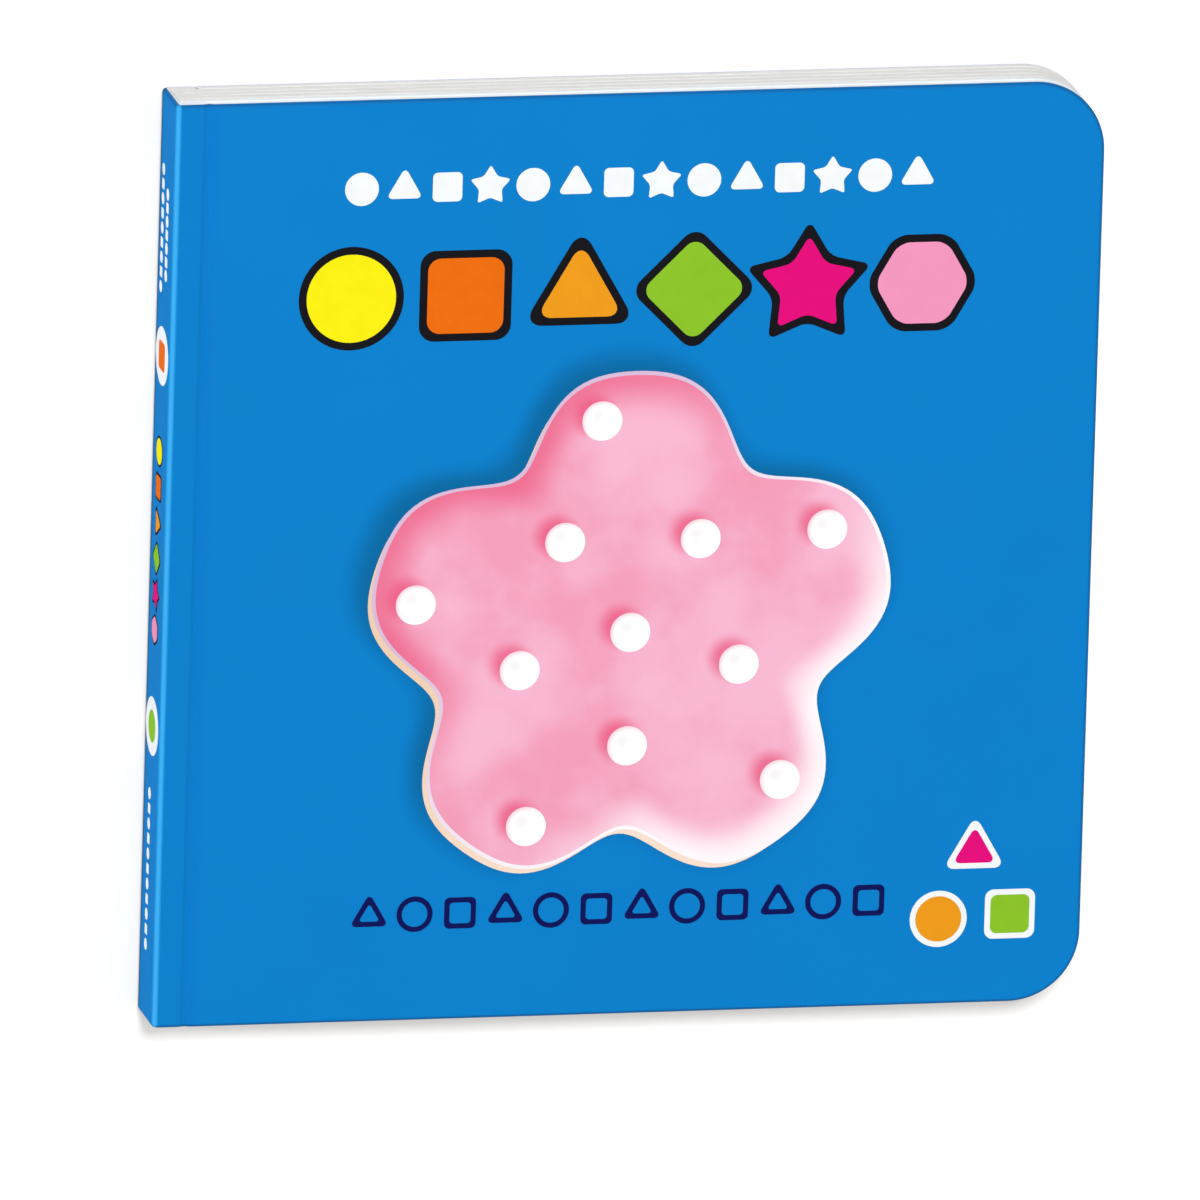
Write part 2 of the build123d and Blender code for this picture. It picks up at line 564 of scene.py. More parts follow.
def extrude_by(bm, faces, step):
    """Extrudes flat faces by a vector, keeps them as the other side, and gives the new vertices."""
    grown = bmesh.ops.extrude_face_region(bm, geom=faces, use_keep_orig=True)["geom"]
    moved = [g for g in grown if isinstance(g, bmesh.types.BMVert)]
    bmesh.ops.translate(bm, vec=step, verts=moved)
    return moved


def cover_plate(bm, start_x, low_z, high_z):
    """A plate from start_x to the fore-edge, as high as the book, with the two round corners."""
    made = bmesh.ops.create_grid(bm, x_segments=1, y_segments=1, size=1.0)["verts"]
    width = fore_edge_x - start_x
    bmesh.ops.scale(bm, vec=(width / 2, half_height, 1.0), verts=made)
    bmesh.ops.translate(bm, vec=(start_x + width / 2, 0.0, low_z), verts=made)
    corners = [v for v in made if v.co.x > 0]
    round_off(bm, corners, CORNER_RADIUS, CORNER_STEPS, affect="VERTICES")
    extrude_by(bm, bm.faces[:], (0.0, 0.0, high_z - low_z))
    bmesh.ops.recalc_face_normals(bm, faces=bm.faces[:])


def edge_middle(edge):
    return (edge.verts[0].co + edge.verts[1].co) / 2


def is_wall(face, to_spine=LOOKS):
    """True for the upright faces that the die cuts: head, tail, fore-edge and round corners.

    A face whose normal turns towards the spine by more than to_spine isn't one of them.
    """
    return abs(face.normal.z) < UPRIGHT and face.normal.x > -to_spine


def rim_edges(bm):
    """The edges between a cut wall and another face."""
    chosen = []
    for edge in bm.edges:
        walls = [f for f in edge.link_faces if is_wall(f)]
        if len(edge.link_faces) == 2 and len(walls) == 1:
            chosen.append(edge)
    return chosen


def fold_edges(bm, x):
    """The long edges along the spine at this x, one at the front and one at the back."""
    there = [e for e in bm.edges if all(v.co.x < x + TOUCH for v in e.verts)]
    return [e for e in there if abs(e.verts[0].co.y - e.verts[1].co.y) > half_height]


def cut_loops_at_crease(bm, steps):
    """Cuts the mesh into narrow strips over the width of the crease."""
    for k in range(steps + 1):
        cut_x = hinge_x - CREASE_HALF_WIDTH + 2 * CREASE_HALF_WIDTH * k / steps
        everything = bm.verts[:] + bm.edges[:] + bm.faces[:]
        bmesh.ops.bisect_plane(
            bm, geom=everything, dist=ON_THE_CUT, plane_co=(cut_x, 0, 0), plane_no=(1, 0, 0)
        )


def press_crease(bm, front, depth_reach):
    """Presses the arc of the crease into the outer face, in the vertices that lie near that face."""
    radius = (CREASE_HALF_WIDTH**2 + CREASE_DEPTH**2) / (2 * CREASE_DEPTH)
    for vert in bm.verts:
        off = abs(vert.co.x - hinge_x)
        from_face = book_thickness - vert.co.z if front else vert.co.z
        if off < CREASE_HALF_WIDTH and from_face < depth_reach:
            dip = math.sqrt(radius**2 - off**2) - (radius - CREASE_DEPTH)
            vert.co.z += -dip if front else dip
    bm.normal_update()


def as_piece(name, bm, materials, smooth_angle=40.0):
    """A finished bmesh as an object with these materials, shaded smooth below an angle."""
    bmesh.ops.remove_doubles(bm, verts=bm.verts[:], dist=TOUCH)
    mesh = bpy.data.meshes.new(name)
    bm.to_mesh(mesh)
    bm.free()
    piece = bpy.data.objects.new(name, mesh)
    bpy.context.scene.collection.objects.link(piece)
    for material in materials:
        mesh.materials.append(material)
    mesh.shade_smooth()
    mesh.set_sharp_from_angle(angle=math.radians(smooth_angle))
    # Large flat faces decide the normals, so that they stay flat beside a small round
    flattened = piece.modifiers.new("flat_faces_first", "WEIGHTED_NORMAL")
    flattened.keep_sharp = True
    print(name, len(mesh.polygons), "faces,", [round(v / MM, 2) for v in piece.dimensions], "mm")
    return piece


print("corners of", round(CORNER_RADIUS / MM, 1), "mm, folds of", round(FOLD_RADIUS / MM, 1), "mm")

# %% [markdown]
# ## The cover boards
# Each panel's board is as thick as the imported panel, less the card that is laminated over it. Its
# inside face is lined with page paper, which is a second material on the faces that look inwards. The
# outer rim is rounder than the inner one, because the die presses from outside. Both boards are made
# the same way, and the back one is then flipped over.

# %% Front and back boards
INNER_LINING = 1  # the second material's slot
OUTER_RIM_STEPS = 5
INNER_RIM_STEPS = 3
BOARD_CREASE_STEPS = 12


def cover_board(name, front):
    """The board of the front panel, or its mirror image at the back."""
    bm = bmesh.new()
    inner_z = panel_low.z
    outer_z = book_thickness - PRINT_THICKNESS
    cover_plate(bm, panel_low.x, inner_z, outer_z)
    middle_z = (inner_z + outer_z) / 2
    outer = [e for e in rim_edges(bm) if edge_middle(e).z > middle_z]
    round_off(bm, outer, COVER_EDGE_RADIUS, OUTER_RIM_STEPS)
    inner = [e for e in rim_edges(bm) if edge_middle(e).z < middle_z]
    round_off(bm, inner, INNER_EDGE_RADIUS, INNER_RIM_STEPS)
    cut_loops_at_crease(bm, BOARD_CREASE_STEPS)
    press_crease(bm, True, PRINT_THICKNESS + COVER_EDGE_RADIUS)
    for face in bm.faces:
        if face.normal.z < -LOOKS:
            face.material_index = INNER_LINING
    if not front:
        flip = Matrix.Translation((0, 0, book_thickness)) @ Matrix.Scale(-1, 4, (0, 0, 1))
        bmesh.ops.transform(bm, matrix=flip, verts=bm.verts)
        bmesh.ops.reverse_faces(bm, faces=bm.faces[:])
    return as_piece(name, bm, [CORE, PAGE])


front_board = cover_board("front_board", True)
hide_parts("front_cover")
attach(front_board, "front_panel")

back_board = cover_board("back_board", False)
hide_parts("back_cover")
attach(back_board, "back_panel")

# %% [markdown]
# ## The spine's board
# The spine is a channel: two thick strips joined by the thin card. Eight points give its section, the
# extrude gives its length, and the bevels give the folds and the pressed rims.

# %% Spine channel
JUST_OVER = 0.01 * MM  # so that a vertex in the card's inner face is chosen too
CHANNEL_FOLD_STEPS = 8
CHANNEL_RIM_STEPS = 3
TO_LEAVES = 0.9  # a face with more of x in its normal looks at the leaves


def pressed_rim(bm, out_x):
    """The edges round both ends of the channel, where the card lies on it."""
    chosen = []
    for edge in bm.edges:
        sides = [f for f in edge.link_faces if abs(f.normal.y) < LOOKS]
        at_an_end = len(edge.link_faces) == 2 and len(sides) == 1
        middle = edge_middle(edge)
        from_outside = min(middle.z, book_thickness - middle.z)
        near_card = from_outside < FOLD_RADIUS or middle.x < out_x + JUST_OVER
        if at_an_end and near_card and sides[0].normal.x < TO_LEAVES:
            chosen.append(edge)
    return chosen


def folded_channel():
    """The two board strips and the card between them, as one folded piece."""
    bm = bmesh.new()
    out_x = spine_x + PRINT_THICKNESS
    end_x = strip_high.x
    seat_x = block_low.x
    low_z = PRINT_THICKNESS
    high_z = book_thickness - PRINT_THICKNESS
    section = (
        (out_x, low_z), (end_x, low_z), (end_x, block_low.z), (seat_x, block_low.z),
        (seat_x, block_high.z), (end_x, block_high.z), (end_x, high_z), (out_x, high_z),
    )
    face = bm.faces.new([bm.verts.new((px, -half_height, pz)) for px, pz in section])
    extrude_by(bm, [face], (0, 2 * half_height, 0))
    bmesh.ops.recalc_face_normals(bm, faces=bm.faces[:])
    round_off(bm, fold_edges(bm, out_x), FOLD_RADIUS - PRINT_THICKNESS, CHANNEL_FOLD_STEPS)
    bm.normal_update()
    round_off(bm, pressed_rim(bm, out_x), COVER_EDGE_RADIUS - PRINT_THICKNESS, CHANNEL_RIM_STEPS)
    cut_loops_at_crease(bm, BOARD_CREASE_STEPS)
    press_crease(bm, True, COVER_EDGE_RADIUS + JUST_OVER)
    press_crease(bm, False, COVER_EDGE_RADIUS + JUST_OVER)
    bmesh.ops.recalc_face_normals(bm, faces=bm.faces[:])
    return as_piece("spine_channel", bm, [CORE])


spine_channel = folded_channel()
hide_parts("spine")
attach(spine_channel, "block")

# %% [markdown]
# ## The printed card
# The card is a skin: the outer surface of the whole book, without the cut walls. It starts as a closed
# plate over the full thickness. The spine's two edges are bevelled into folds, the rims of the walls are
# bevelled, the walls are deleted, and the crease is pressed in. A Solidify modifier then gives the skin
# its thickness inwards, with the cut edge in white board.
#
# A skin that crosses a hinge has to bend with it. The card crosses two hinges, so it is two pieces: the
# front one goes round the spine and ends at the back crease.

# %% Front and back card
CARD_FOLD_STEPS = 10
CARD_RIM_STEPS = 6
CARD_CREASE_STEPS = 16
CUT_EDGE = 1  # slots from the card's own material to that of its cut edge
SPINE_END_ROUNDS = 0.05  # the rounds at the spine's ends turn to it by more than this, and stay


def printed_card(name, front):
    """The card over one cover, and for the front one over the spine too."""
    bm = bmesh.new()
    cover_plate(bm, spine_x, 0.0, book_thickness)
    round_off(bm, fold_edges(bm, spine_x), FOLD_RADIUS, CARD_FOLD_STEPS)
    round_off(bm, rim_edges(bm), COVER_EDGE_RADIUS, CARD_RIM_STEPS)
    walls = [f for f in bm.faces if is_wall(f, to_spine=SPINE_END_ROUNDS)]
    bmesh.ops.delete(bm, geom=walls, context="FACES")
    cut_loops_at_crease(bm, CARD_CREASE_STEPS)
    seam_x = hinge_x - CREASE_HALF_WIDTH
    unwanted = []
    for face in bm.faces:
        middle = face.calc_center_median()
        on_back_panel = middle.z < book_thickness / 2 and middle.x > seam_x
        if on_back_panel == front:
            unwanted.append(face)
    bmesh.ops.delete(bm, geom=unwanted, context="FACES")
    press_crease(bm, front, book_thickness / 2)
    piece = as_piece(name, bm, [CARD, CORE])
    skin = piece.modifiers.new("card_thickness", "SOLIDIFY")
    skin.thickness = PRINT_THICKNESS
    skin.offset = -1.0
    skin.use_even_offset = True
    skin.material_offset_rim = CUT_EDGE
    return piece


def apply_modifiers(piece):
    """Puts what the modifiers make into the mesh itself, and notes its places at rest."""
    shaped = piece.evaluated_get(bpy.context.evaluated_depsgraph_get())
    mesh = bpy.data.meshes.new_from_object(shaped)
    piece.modifiers.clear()
    piece.data = mesh
    note_rest_places(piece)
    return piece


front_card = apply_modifiers(printed_card("front_card", True))
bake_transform(front_card)

back_card = apply_modifiers(printed_card("back_card", False))
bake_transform(back_card)

# %% [markdown]
# ## Prints as thin layers
# A print could be a pattern in the card's material. Here each print is a layer of its own, a few
# hundredths of a millimetre thick, so its edge stays sharp at any distance and survives the export.
# Every shape starts as `create_circle`: three corners make a triangle, four a square, many a circle,
# and a star is a circle of ten corners with every second one pulled in. A vertex bevel rounds the
# corners. An outline is printed as a whole shape with a smaller one on top, as a child's stamp set
# would do it.

# %% Shape helpers
Shape = namedtuple("Shape", "corners reach waist rounding turn")

CIRCLE = Shape(corners=72, reach=1.0, waist=1.0, rounding=0.0, turn=0)
SQUARE = Shape(corners=4, reach=1.24, waist=1.0, rounding=0.3, turn=45)
TRIANGLE = Shape(corners=3, reach=1.26, waist=1.0, rounding=0.4, turn=0)
DIAMOND = Shape(corners=4, reach=1.22, waist=1.0, rounding=0.28, turn=0)
STAR = Shape(corners=10, reach=1.26, waist=0.56, rounding=0.16, turn=0)
HEXAGON = Shape(corners=6, reach=1.08, waist=1.0, rounding=0.25, turn=30)

SIX_SHAPES = (CIRCLE, SQUARE, TRIANGLE, DIAMOND, STAR, HEXAGON)
ROUNDING_STEPS = 8


def raise_ink(bm, face, place, lift):
    """Gives a flat face the thickness of its layer and puts it in its place on the book."""
    top = extrude_by(bm, [face], (0, 0, (lift + 1) * INK_THICKNESS))
    bmesh.ops.transform(bm, matrix=place, verts=list(face.verts) + top)


def stamp(bm, place, shape, size, slot=0, lift=0, border=0.0):
    """Prints one shape as large as a circle of radius size, with its outline moved in by border."""
    before = set(bm.faces)
    reach = size * shape.reach
    made = bmesh.ops.create_circle(bm, cap_ends=True, segments=shape.corners, radius=reach)
    ring = made["verts"]
    for vert in ring[1::2]:
        vert.co *= shape.waist
    # Every side is equally far from the middle, so a smaller copy leaves an even border
    to_side = ring[0].co.cross(ring[1].co).length / (ring[1].co - ring[0].co).length
    smaller = 1 - border / to_side
    bmesh.ops.scale(bm, vec=(smaller, smaller, 1), verts=ring)
    if shape.rounding:
        rounding = shape.rounding * size * smaller
        round_off(bm, ring, rounding, ROUNDING_STEPS, affect="VERTICES")
    face = next(f for f in bm.faces if f not in before)
    face.material_index = slot
    raise_ink(bm, face, place @ Matrix.Rotation(math.radians(shape.turn), 4, "Z"), lift)


def stamp_outlined(bm, place, shape, size, border, edge_slot, fill_slot):
    """Prints a shape twice: the outline's ink first, and the filling smaller on top of it."""
    stamp(bm, place, shape, size, edge_slot)
    stamp(bm, place, shape, size, fill_slot, lift=1, border=border)


def on_front(x_mm, y_mm):
    """The plane of a print on the front cover, at a place in mm from the middle of the cover."""
    return Matrix.Translation((x_mm * MM, y_mm * MM, book_thickness))


def row_on_front(count, pitch_mm, y_mm):
    """The planes of a row of prints, evenly spaced about the middle of the cover."""
    return [on_front((k - (count - 1) / 2) * pitch_mm, y_mm) for k in range(count)]


def on_spine(y_mm):
    """The plane of a print on the spine, reading from head to tail."""
    # Its right goes to the tail, its top to the front cover, and it looks away from the leaves
    turned = Matrix(((0, 0, -1, 0), (-1, 0, 0, 0), (0, 1, 0, 0), (0, 0, 0, 1)))
    return Matrix.Translation((spine_x, y_mm * MM, book_thickness / 2)) @ turned


def print_piece(name, bm, materials, body):
    """Closes a print's mesh into an object that rides on a body."""
    bmesh.ops.recalc_face_normals(bm, faces=bm.faces[:])
    piece = as_piece(name, bm, materials, smooth_angle=30.0)
    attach(piece, body)
    return piece


print("corners of the six shapes:", [shape.corners for shape in SIX_SHAPES])

# %% [markdown]
# ## The row of big shapes
# Six clear shapes stand in a row across the cover, in six colours, each with a black outline. All of
# them are one mesh with seven materials, because they are printed in one pass and move together.

# %% Big shapes
BIG_ROW_Y = 43.0
BIG_PITCH = 18.3
BIG_SIZE = 8.4 * MM
OUTLINE = 1.25 * MM

WHITE = ink("ink_white", INK_WHITE)
BLACK = ink("ink_black", INK_BLACK)
NAVY = ink("ink_navy", INK_NAVY)
YELLOW = ink("ink_yellow", INK_YELLOW)
ORANGE = ink("ink_orange", INK_ORANGE)
AMBER = ink("ink_amber", INK_AMBER)
GREEN = ink("ink_green", INK_GREEN)
MAGENTA = ink("ink_magenta", INK_MAGENTA)
ROSE = ink("ink_rose", INK_ROSE)
BLACK_AND_TOYS = [BLACK, YELLOW, ORANGE, AMBER, GREEN, MAGENTA, ROSE]

big_shapes = bmesh.new()
for k, place in enumerate(row_on_front(len(SIX_SHAPES), BIG_PITCH, BIG_ROW_Y)):
    stamp_outlined(big_shapes, place, SIX_SHAPES[k], BIG_SIZE, OUTLINE, 0, 1 + k)
print_piece("big_shapes", big_shapes, BLACK_AND_TOYS, "front_panel")

# %% [markdown]
# ## The small rows
# A line of small white shapes stands above the big ones, and a line of small navy outlines below the
# biscuit. The middle of a navy one is filled with the card's own blue, whose pattern follows the book
# and not the shape, so the filling can't be told from the card round it.

# %% Small white and navy rows
WHITE_ROW_Y = 60.7
WHITE_COUNT = 14
WHITE_SIZE = 2.7 * MM
WHITE_PITCH = 6.85
WHITE_SHAPES = (CIRCLE, TRIANGLE, SQUARE, STAR)
NAVY_ROW_Y = -57.6
NAVY_COUNT = 12
NAVY_SIZE = 2.9 * MM
NAVY_PITCH = 7.3
NAVY_LINE = 0.85 * MM
NAVY_SHAPES = (TRIANGLE, CIRCLE, SQUARE)

white_row = bmesh.new()
for k, place in enumerate(row_on_front(WHITE_COUNT, WHITE_PITCH, WHITE_ROW_Y)):
    stamp(white_row, place, WHITE_SHAPES[k % len(WHITE_SHAPES)], WHITE_SIZE)
print_piece("white_row", white_row, [WHITE], "front_panel")

navy_row = bmesh.new()
for k, place in enumerate(row_on_front(NAVY_COUNT, NAVY_PITCH, NAVY_ROW_Y)):
    shape = NAVY_SHAPES[k % len(NAVY_SHAPES)]
    stamp_outlined(navy_row, place, shape, NAVY_SIZE, NAVY_LINE, 0, 1)
navy_outlines = print_piece("navy_row", navy_row, [NAVY, CARD], "front_panel")
note_rest_places(navy_outlines)

# %% [markdown]
# ## The corner group
# Three little shapes with white outlines stand in the lower corner at the fore-edge. They stand
# loosely, as stickers would, so each has a place of its own.

# %% Corner group
CORNER_SIZE = 4.6 * MM
CORNER_OUTLINE = 0.9 * MM
# Each shape with its place on the cover, in mm from the middle
CORNER_SHAPES = ((CIRCLE, 51.5, -61.0), (SQUARE, 63.0, -60.5), (TRIANGLE, 57.0, -50.0))

corner_group = bmesh.new()
for k, (shape, shape_x, shape_y) in enumerate(CORNER_SHAPES):
    place = on_front(shape_x, shape_y)
    stamp_outlined(corner_group, place, shape, CORNER_SIZE, CORNER_OUTLINE, 0, 1 + k)
print_piece("corner_group", corner_group, [WHITE, AMBER, GREEN, MAGENTA], "front_panel")

# %% [markdown]
# ## The biscuit
# The print shows a pink iced biscuit. Its icing could be one flat pink, but a real one is glazed. So its
# colour is worked out from places on the biscuit: deep pink inside the upper left rim, milky inside the
# lower right one, cloudy in between, with a small deep pink shadow at each pearl.

# %% Icing material
ICING_DEEP = srgb(232, 84, 126)
ICING_PINK = srgb(240, 156, 184)
ICING_MILKY = srgb(245, 182, 208)
ICING_LIGHT = srgb(255, 247, 250)
LIGHT_SIDE = (0.75, -0.66)  # the way to the lower right, where the print is brightest
PEARL_SHADOW_THROW = (-1.5, 1.1)  # mm from a pearl to its shadow

# The marks' reach as before, in mm inside the outline or as a share of the way to the light
CLOUD_CONTRAST = (0.35, 0.65)
SHADE_INSIDE = (9.0, 0.5)
SHADE_SIDE = (0.15, -0.75)
SHINE_INSIDE = (8.0, 0.5)
SHINE_SIDE = (0.25, 0.85)
PEARL_SHADOW_ACROSS = (4.6, 1.6)  # from the shadow's middle
EDGE_SIDE = (-0.8, 0.6)

SHADE_STRENGTH = 0.75
SHINE_STRENGTH = 0.95
PEARL_SHADOW_STRENGTH = 0.8


def towards_light(x, y):
    """1 at the far lower right of a disc of radius 1 and -1 at its upper left."""
    return x * LIGHT_SIDE[0] + y * LIGHT_SIDE[1]


def icing():
    """Pink glaze, shaded as the print shows it."""
    recipe = Recipe("icing")
    place_x, place_y, _ = recipe.axes(recipe.place)
    x = place_x - BISCUIT_CENTRE[0]
    y = place_y - BISCUIT_CENTRE[1]
    inside = petal_reach_wire(x, y) - distance(x, y)
    to_light = towards_light(x, y) / BISCUIT_RADIUS

    cloud = recipe.noise(per_mm=0.055, detail=4.0)
    colour = recipe.mix(cloud.ramp(*CLOUD_CONTRAST), ICING_PINK, ICING_MILKY)
    shade = inside.ramp(*SHADE_INSIDE) * to_light.ramp(*SHADE_SIDE)
    colour = recipe.mix(SHADE_STRENGTH * shade, colour, ICING_DEEP)
    shine = inside.ramp(*SHINE_INSIDE) * to_light.ramp(*SHINE_SIDE)
    colour = recipe.mix(SHINE_STRENGTH * shine, colour, ICING_LIGHT)
    for pearl_x, pearl_y in pearl_places():
        off_x = x - (pearl_x + PEARL_SHADOW_THROW[0])
        off_y = y - (pearl_y + PEARL_SHADOW_THROW[1])
        shadow = distance(off_x, off_y).ramp(*PEARL_SHADOW_ACROSS)
        colour = recipe.mix(PEARL_SHADOW_STRENGTH * shadow, colour, ICING_DEEP)
    return under_film(recipe, colour)


def biscuit_edge(name, light, dark):
    """The colour of the rim or the crust, lighter towards the lower right."""
    recipe = Recipe(name)
    x, y, _ = recipe.axes(recipe.place)
    to_light = towards_light(x - BISCUIT_CENTRE[0], y - BISCUIT_CENTRE[1]) / BISCUIT_RADIUS
    return under_film(recipe, recipe.mix(to_light.ramp(*EDGE_SIDE), dark, light))


ICING = icing()
print(ICING.name, "has", len(ICING.node_tree.nodes), "nodes")

# %% [markdown]
# A pearl is a small white ball in the print. Its shading has to turn up on each of them, so the pearls
# carry a UV map that runs from 0 to 1 over every disc, and the material reads that.

# %% Pearl material
PEARL_WHITE = srgb(254, 252, 252)
PEARL_GREY = srgb(222, 216, 222)
PEARL_ROSE = srgb(236, 192, 208)

UV_MIDDLE = 0.5  # of the disc, along both axes of the UV map
# Places and reaches in the UV map from that middle, with the rim 0.5 away from it
SPOT_AT = (-0.12, 0.14)
SPOT_ACROSS = (0.26, 0.02)
ROSE_EDGE = (0.36, 0.5)
ROSE_SIDE = (0.2, -0.4)
SPOT_STRENGTH = 0.3
ROSE_STRENGTH = 0.6


def pearl_sugar():
    """White sugar with a dull grey spot and a breath of rose on the shaded side of its rim."""
    recipe = Recipe("pearl_sugar")
    x = recipe.node("ShaderNodeSeparateXYZ", {}, {0: recipe.uv}, output="X") - UV_MIDDLE
    y = recipe.node("ShaderNodeSeparateXYZ", {}, {0: recipe.uv}, output="Y") - UV_MIDDLE
    spot = distance(x - SPOT_AT[0], y - SPOT_AT[1]).ramp(*SPOT_ACROSS)
    colour = recipe.mix(SPOT_STRENGTH * spot, PEARL_WHITE, PEARL_GREY)
    edge = distance(x, y).ramp(*ROSE_EDGE) * towards_light(x, y).ramp(*ROSE_SIDE)
    colour = recipe.mix(ROSE_STRENGTH * edge, colour, PEARL_ROSE)
    return under_film(recipe, colour)


PEARL = pearl_sugar()
print(PEARL.name, "has", len(PEARL.node_tree.nodes), "nodes")

# %% [markdown]
# The biscuit is four layers. From below they are the crust, which shows a sliver at the lower left, the
# pale rim of the icing, the icing, and the pearls. The first three are the same circle of many points,
# pulled out to the flower's reach and moved or drawn in a little.

# %% Biscuit layers
CRUST_LIGHT = srgb(246, 222, 204)
CRUST_DARK = srgb(234, 204, 176)
RIM_LIGHT = srgb(250, 246, 250)
RIM_DARK = srgb(214, 186, 214)
FLOWER_POINTS = 240
CRUST_SHIFT = (-0.9, -1.0)  # mm to the lower left


def biscuit_layer(name, material, lift, shift=(0.0, 0.0), shrink=0.0):
    """One layer of the biscuit, with its outline moved in by shrink, in mm."""
    bm = bmesh.new()
    made = bmesh.ops.create_circle(bm, cap_ends=True, segments=FLOWER_POINTS, radius=1.0)
    for vert in made["verts"]:
        vert.co *= (petal_reach(math.atan2(vert.co.x, vert.co.y)) - shrink) * MM
    place = on_front(BISCUIT_CENTRE[0] + shift[0], BISCUIT_CENTRE[1] + shift[1])
    raise_ink(bm, bm.faces[:][0], place, lift)
    return print_piece(name, bm, [material], "front_panel")


CRUST = biscuit_edge("biscuit_crust", CRUST_LIGHT, CRUST_DARK)
RIM = biscuit_edge("icing_rim", RIM_LIGHT, RIM_DARK)
biscuit_layer("crust", CRUST, lift=0, shift=CRUST_SHIFT, shrink=RIM_WIDTH / 2)
biscuit_layer("icing_rim", RIM, lift=1)
biscuit_layer("icing", ICING, lift=2, shrink=RIM_WIDTH)

pearls = bmesh.new()
disc_uv = pearls.loops.layers.uv.new("disc")
for pearl_x, pearl_y in pearl_places():
    before = set(pearls.faces)
    centre = on_front(BISCUIT_CENTRE[0] + pearl_x, BISCUIT_CENTRE[1] + pearl_y)
    stamp(pearls, centre, CIRCLE, PEARL_RADIUS * MM, lift=3)
    for face in set(pearls.faces) - before:
        for loop in face.loops:
            off = (loop.vert.co - centre.translation) / (2 * PEARL_RADIUS * MM)
            loop[disc_uv].uv = (UV_MIDDLE + off.x, UV_MIDDLE + off.y)
print_piece("pearls", pearls, [PEARL], "front_panel")

# %% [markdown]
# ## Prints on the spine
# The spine repeats the cover in small: two white discs with a shape, six little shapes between them, and
# rows of white marks at each end. They lie on another plane, so only the matrix changes.

# %% Spine prints
DISC_RADIUS = 4.7 * MM
DISC_SHAPE_SIZE = 2.6 * MM
SPINE_SHAPE_SIZE = 2.5 * MM
SPINE_SHAPE_OUTLINE = 0.4 * MM
SPINE_SHAPE_TOP = 17.4
SPINE_SHAPE_PITCH = 5.8
MARK_SIZE = 0.95 * MM
# For each disc: its place along the spine in mm, and its shape with that shape's material slot
DISCS = ((32.9, SQUARE, 1), (-27.3, CIRCLE, 2))
# For each row of marks in mm: its height on the spine, the first and the last mark, and how many
MARK_ROWS = ((1.2, 59.4, 46.2, 7), (-2.4, 62.6, 43.6, 9), (-0.6, -38.4, -63.0, 11))
MARK_SHAPES = (CIRCLE, SQUARE)

spine_discs = bmesh.new()
for disc_y, shape, slot in DISCS:
    stamp(spine_discs, on_spine(disc_y), CIRCLE, DISC_RADIUS)
    stamp(spine_discs, on_spine(disc_y), shape, DISC_SHAPE_SIZE, slot, lift=1)
print_piece("spine_discs", spine_discs, [WHITE, ORANGE, GREEN], "block")

spine_shapes = bmesh.new()
for k, shape in enumerate(SIX_SHAPES):
    place = on_spine(SPINE_SHAPE_TOP - SPINE_SHAPE_PITCH * k)
    stamp_outlined(spine_shapes, place, shape, SPINE_SHAPE_SIZE, SPINE_SHAPE_OUTLINE, 0, 1 + k)
print_piece("spine_shapes", spine_shapes, BLACK_AND_TOYS, "block")

spine_marks = bmesh.new()
for row_z, first_y, last_y, count in MARK_ROWS:
    for k in range(count):
        mark_y = first_y + (last_y - first_y) * k / (count - 1)
        place = on_spine(mark_y) @ Matrix.Translation((0, row_z * MM, 0))
        stamp(spine_marks, place, MARK_SHAPES[k % len(MARK_SHAPES)], MARK_SIZE)
print_piece("spine_marks", spine_marks, [WHITE], "block")

# %% [markdown]
# ## Floor, light and camera
# The book lies on a plain white floor. To the light that lands on the book, the floor is pale paper. To
# the camera and to mirrors it is a grey that glows, which is as white in the open but keeps only part
# of the book's shadow. The glow is a little warm, against the blue that the book throws on the floor.

# %% Floor
FLOOR_REACH = 12.0  # metres from the book to each side
FLOOR_GAP = 0.02 * MM  # under the book, so that the two faces don't lie in one plane
FLOOR_PALE = srgb(238, 238, 240)
FLOOR_SEEN = (0.8, 0.8, 0.8, 1)
FLOOR_GLOW = (0.28, 0.27, 0.26, 1)
NO_GLOW = (0, 0, 0, 1)
FLOOR_ROUGHNESS = 0.9


def seen_or_mirrored(tree):
    """A socket that is 1 for the camera, mirrors and glass, and 0 for all other light."""
    rays = tree.nodes.new("ShaderNodeLightPath")
    seen = rays.outputs["Is Camera Ray"]
    for ray in ("Is Glossy Ray", "Is Transmission Ray"):
        either = tree.nodes.new("ShaderNodeMath")
        either.operation = "MAXIMUM"
        tree.links.new(seen, either.inputs[0])
        tree.links.new(rays.outputs[ray], either.inputs[1])
        seen = either.outputs[0]
    return seen


def floor_material():
    """Pale paper for the light, and a glowing grey for the camera and for mirrors."""
    recipe = Recipe("floor_white")
    seen = Wire(recipe, seen_or_mirrored(recipe.tree))
    colour = recipe.mix(seen, FLOOR_PALE, FLOOR_SEEN)
    recipe.feed(Base_Color=colour, Roughness=FLOOR_ROUGHNESS, Specular_IOR_Level=0.0)
    recipe.feed(Emission_Color=recipe.mix(seen, NO_GLOW, FLOOR_GLOW), Emission_Strength=1.0)
    return recipe.material


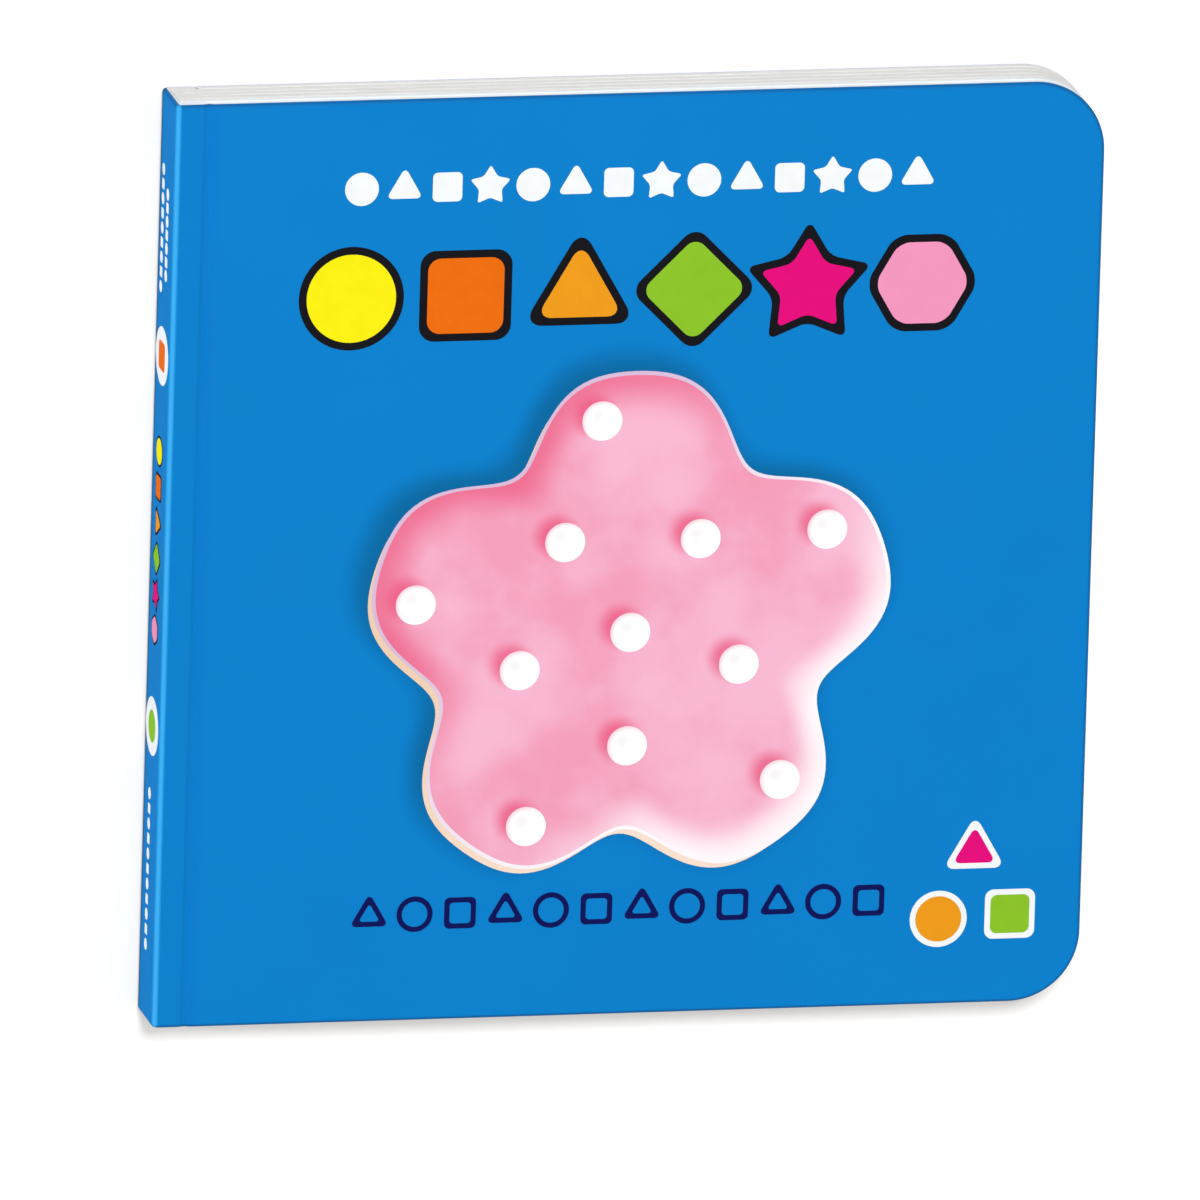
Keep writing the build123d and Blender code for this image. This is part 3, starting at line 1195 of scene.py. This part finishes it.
floor_mesh = bmesh.new()
bmesh.ops.create_grid(floor_mesh, x_segments=1, y_segments=1, size=FLOOR_REACH)
bmesh.ops.translate(floor_mesh, vec=(0, 0, -FLOOR_GAP), verts=floor_mesh.verts)
floor = as_piece("floor", floor_mesh, [floor_material()])
floor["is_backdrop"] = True

# %% [markdown]
# The light is soft. A white sky gives every side some light, and the main lamp hangs beyond the head of
# the book, a little to the spine side. It throws the book's short shadow towards the tail, as in the
# photograph. Two weaker lamps fill from the fore-edge and from the spine. The spine's one stands low, so
# that it lights the spine and hardly the cover, where it would deepen the crease.

# %% Sky and lamps
SKY_LIGHT = 0.35
SKY_SEEN = 1.0


def sky():
    """White to the camera and to mirrors, and a soft even light to everything else."""
    world = bpy.data.worlds.new("white_sky")
    world.use_nodes = True
    tree = world.node_tree
    tree.nodes.clear()
    background = tree.nodes.new("ShaderNodeMixShader")
    tree.links.new(seen_or_mirrored(tree), background.inputs["Fac"])
    for slot, strength in ((1, SKY_LIGHT), (2, SKY_SEEN)):
        glow = tree.nodes.new("ShaderNodeBackground")
        glow.inputs["Color"].default_value = (1, 1, 1, 1)
        glow.inputs["Strength"].default_value = strength
        tree.links.new(glow.outputs[0], background.inputs[slot])
    output = tree.nodes.new("ShaderNodeOutputWorld")
    tree.links.new(background.outputs[0], output.inputs["Surface"])
    bpy.context.scene.world = world


def lamp(name, place, size, watts):
    """A square lamp that faces the book. Its place and size are in metres."""
    light = bpy.data.lights.new(name, "AREA")
    light.shape = "SQUARE"
    light.size = size
    light.energy = watts
    holder = bpy.data.objects.new(name, light)
    holder.location = place
    holder.rotation_euler = (-Vector(place)).to_track_quat("-Z", "Y").to_euler()
    bpy.context.scene.collection.objects.link(holder)


sky()
lamp("head_lamp", place=(-0.25, 1.03, 2.55), size=0.5, watts=45.6)
lamp("fore_edge_lamp", place=(1.9, 0.3, 1.9), size=1.4, watts=8.2)
lamp("spine_lamp", place=(-2.2, 0.45, 0.5), size=0.8, watts=17.5)
print("lamps:", [light.name for light in bpy.data.lights])

# %% [markdown]
# The photograph shows the cover face on, with a thin strip of the spine and of the page edges. Such a
# flat view needs a long lens from far away. The camera looks down on the lying book, and leans over
# towards the spine and the head by some degrees, so that both thin sides come into view.

# %% Camera
LEAN_TO_SPINE = math.radians(12.4)
LEAN_TO_HEAD = math.radians(15.5)
ROLL = math.radians(1.67)
DISTANCE = 8.0  # metres
SIGHT = 100.0  # metres, past which the camera sees nothing
LENS_MM = 1529.0
SENSOR_MM = 36.0
AIM = Vector((-4.5 * MM, -7.2 * MM, book_thickness))

back = Vector((
    -math.sin(LEAN_TO_SPINE) * math.cos(LEAN_TO_HEAD),
    math.sin(LEAN_TO_HEAD),
    math.cos(LEAN_TO_SPINE) * math.cos(LEAN_TO_HEAD),
))
right = Vector((math.cos(LEAN_TO_SPINE), 0, math.sin(LEAN_TO_SPINE)))
up = back.cross(right)
rolled_right = right * math.cos(ROLL) + up * math.sin(ROLL)
rolled_up = up * math.cos(ROLL) - right * math.sin(ROLL)

camera_data = bpy.data.cameras.new("camera")
camera_data.lens = LENS_MM
camera_data.sensor_width = SENSOR_MM
camera_data.clip_end = SIGHT
camera = bpy.data.objects.new("camera", camera_data)
turn = Matrix((rolled_right, rolled_up, back)).transposed().to_4x4()
camera.matrix_world = Matrix.Translation(AIM + back * DISTANCE) @ turn
bpy.context.scene.collection.objects.link(camera)
bpy.context.scene.camera = camera
bpy.context.scene.view_settings.view_transform = "Standard"
print("camera at", [round(v, 2) for v in camera.matrix_world.translation], "m, lens", LENS_MM, "mm")

# %% [markdown]
# ## Size at the end
# The difference between the dressed book's box and the imported one is printed, in mm. The dressed
# book has to stay the size of the imported one.

# %% Sizes and the last line
new_low, new_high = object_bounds()
grown = [b - a for a, b in zip((*cad_low, *cad_high), (*new_low, *new_high))]
print("grown by, mm:", [round(v / MM, 3) for v in grown])
